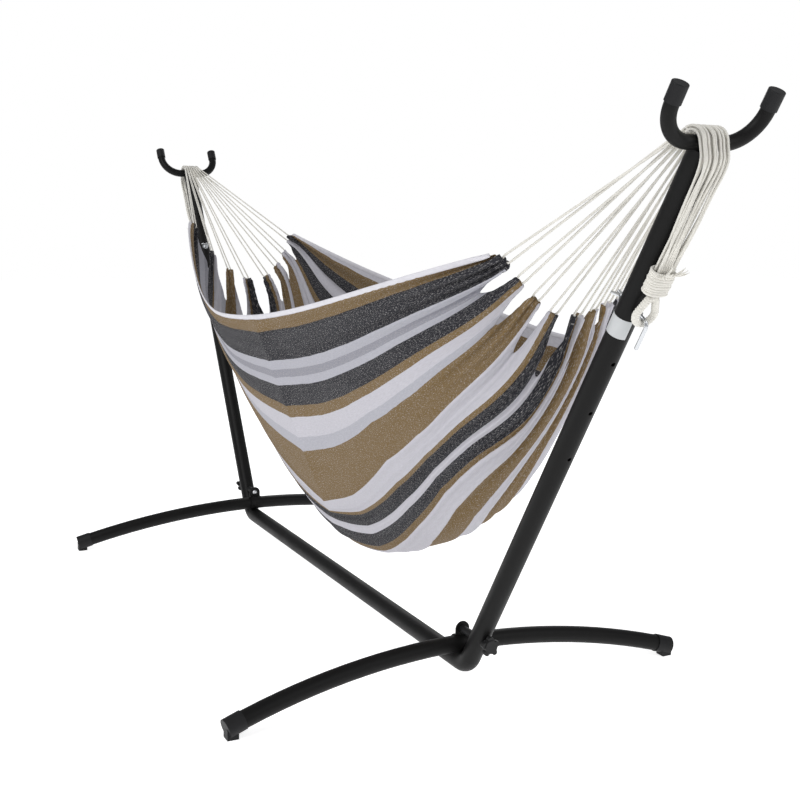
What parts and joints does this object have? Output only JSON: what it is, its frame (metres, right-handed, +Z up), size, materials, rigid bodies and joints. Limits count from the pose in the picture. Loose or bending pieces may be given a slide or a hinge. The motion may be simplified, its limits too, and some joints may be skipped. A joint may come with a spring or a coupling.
{
  "type": "hammock on stand",
  "caption": "Striped cotton hammock strung between the U-shaped horns of a black tubular steel stand with leaning uprights, a centre beam and arched feet.",
  "frame": {"origin": "on the floor, midway between the four feet, under the middle of the centre beam", "axes": "+X along the centre beam towards the end with the blank label, +Y across the stand, +Z up"},
  "size_m": [2.983, 1.1992, 1.3245],
  "materials": {
    "frame_paint": "satin powder coat",
    "cap_plastic": "matt moulded",
    "knob_plastic": "matt moulded",
    "zinc_steel": "bright zinc plated",
    "rope": "twisted cotton",
    "cloth": "woven cotton",
    "label": "blank sticker"
  },
  "bodies": {
    "frame": {"centre_beam": "frame_paint", "blank_label": "label", "upright_near": "frame_paint", "upright_far": "frame_paint", "horn_tube_near": "frame_paint", "horn_tube_far": "frame_paint", "horn_caps_near": "cap_plastic", "horn_caps_far": "cap_plastic", "base_leg_near": "frame_paint", "base_leg_far": "frame_paint", "leg_end_caps_near": "cap_plastic", "leg_end_caps_far": "cap_plastic", "clamp_strap_near": "frame_paint", "clamp_strap_far": "frame_paint", "clamp_sleeve_near": "cap_plastic", "clamp_sleeve_far": "cap_plastic", "clamp_washer_near": "cap_plastic", "clamp_washer_far": "cap_plastic", "clamp_bolt_near": "zinc_steel", "clamp_bolt_far": "zinc_steel", "hook_bolt_near": "zinc_steel", "hook_bolt_far": "zinc_steel", "hook_nut_near": "zinc_steel", "hook_nut_far": "zinc_steel", "hook_washers_near": "zinc_steel", "hook_washers_far": "zinc_steel", "rope_bundle_near": "rope", "rope_bundle_far": "rope", "rope_whipping_near": "rope", "rope_whipping_far": "rope", "rope_eye_near": "rope", "rope_eye_far": "rope"},
    "hammock": {"hammock_cloth": "cloth", "suspension_strings_near": "rope", "suspension_strings_far": "rope"},
    "near_knob": {"star_knob_near": "knob_plastic", "knob_insert_near": "zinc_steel"},
    "near_wing_nut": {"wing_nut_near": "zinc_steel"},
    "far_knob": {"star_knob_far": "knob_plastic", "knob_insert_far": "zinc_steel"},
    "far_wing_nut": {"wing_nut_far": "zinc_steel"}
  },
  "joints": [
    {"name": "hammock_sway", "type": "hinge", "parent": "frame", "child": "hammock", "pos_m": [0, 0, 1.244], "axis": [1, 0, 0], "range_deg": [-35, 35]},
    {"name": "near_knob_turn", "type": "hinge", "parent": "frame", "child": "near_knob", "pos_m": [0.8146, 0, 0.144], "axis": [1, 0, 0], "continuous": true},
    {"name": "near_wing_nut_turn", "type": "hinge", "parent": "frame", "child": "near_wing_nut", "pos_m": [1.23321, 0, 0.96471], "axis": [0.8581, 0, -0.5135], "continuous": true},
    {"name": "far_knob_turn", "type": "hinge", "parent": "frame", "child": "far_knob", "pos_m": [-0.8146, 0, 0.144], "axis": [-1, 0, 0], "continuous": true},
    {"name": "far_wing_nut_turn", "type": "hinge", "parent": "frame", "child": "far_wing_nut", "pos_m": [-1.23321, 0, 0.96471], "axis": [-0.8581, 0, -0.5135], "continuous": true}
  ]
}
